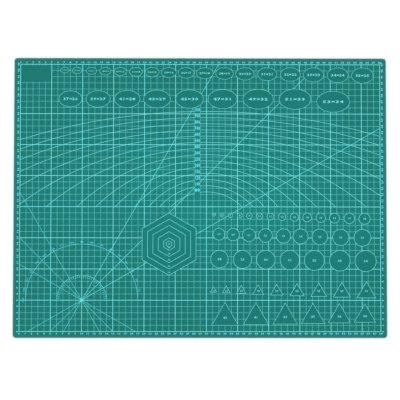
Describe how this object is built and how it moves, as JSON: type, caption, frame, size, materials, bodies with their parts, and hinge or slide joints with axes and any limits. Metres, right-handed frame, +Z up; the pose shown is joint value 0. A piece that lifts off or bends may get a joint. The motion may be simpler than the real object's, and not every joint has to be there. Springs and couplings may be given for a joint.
{
  "type": "craft cutting mat",
  "caption": "Thin flat self-healing cutting board of bonded plastic sheets, with a centimetre grid, protractor, radius arcs and drawing shapes printed on its upper face.",
  "frame": {"origin": "middle of the underside, where the mat rests on the table", "axes": "+X along the mat's length, to the right when the numbers read upright, +Y across it and away from the user, +Z up out of the printed face"},
  "size_m": [0.6, 0.45, 0.0032],
  "materials": {
    "skin": "matt teal green plastic with a fine even grain",
    "healing_layer": "soft plastic, deeper teal, seen only at the edge",
    "core": "harder plastic, dull grey green, seen only at the edge",
    "ink": "thin pale aqua screen ink"
  },
  "bodies": {
    "root": {"bottom_skin": "skin", "lower_healing_layer": "healing_layer", "core_sheet": "core", "upper_healing_layer": "healing_layer", "top_skin": "skin", "print_fine_columns": "ink", "print_fine_rows": "ink", "print_frame_and_bold_grid": "ink", "print_radius_arcs": "ink", "print_hexagon_1": "ink", "print_hexagon_2": "ink", "print_hexagon_3": "ink", "print_hexagon_4": "ink", "print_hexagon_5": "ink", "print_hexagon_6": "ink", "print_protractor_outer_arc": "ink", "print_protractor_inner_arc": "ink", "print_circle_row_small": "ink", "print_circle_row_middle": "ink", "print_circle_row_large": "ink", "print_ellipse_row_small": "ink", "print_ellipse_row_large": "ink", "print_triangle_row_small": "ink", "print_triangle_row_large": "ink", "print_angle_lines": "ink", "print_angle_line_30_far": "ink", "print_angle_line_45_far": "ink"}
  },
  "joints": []
}
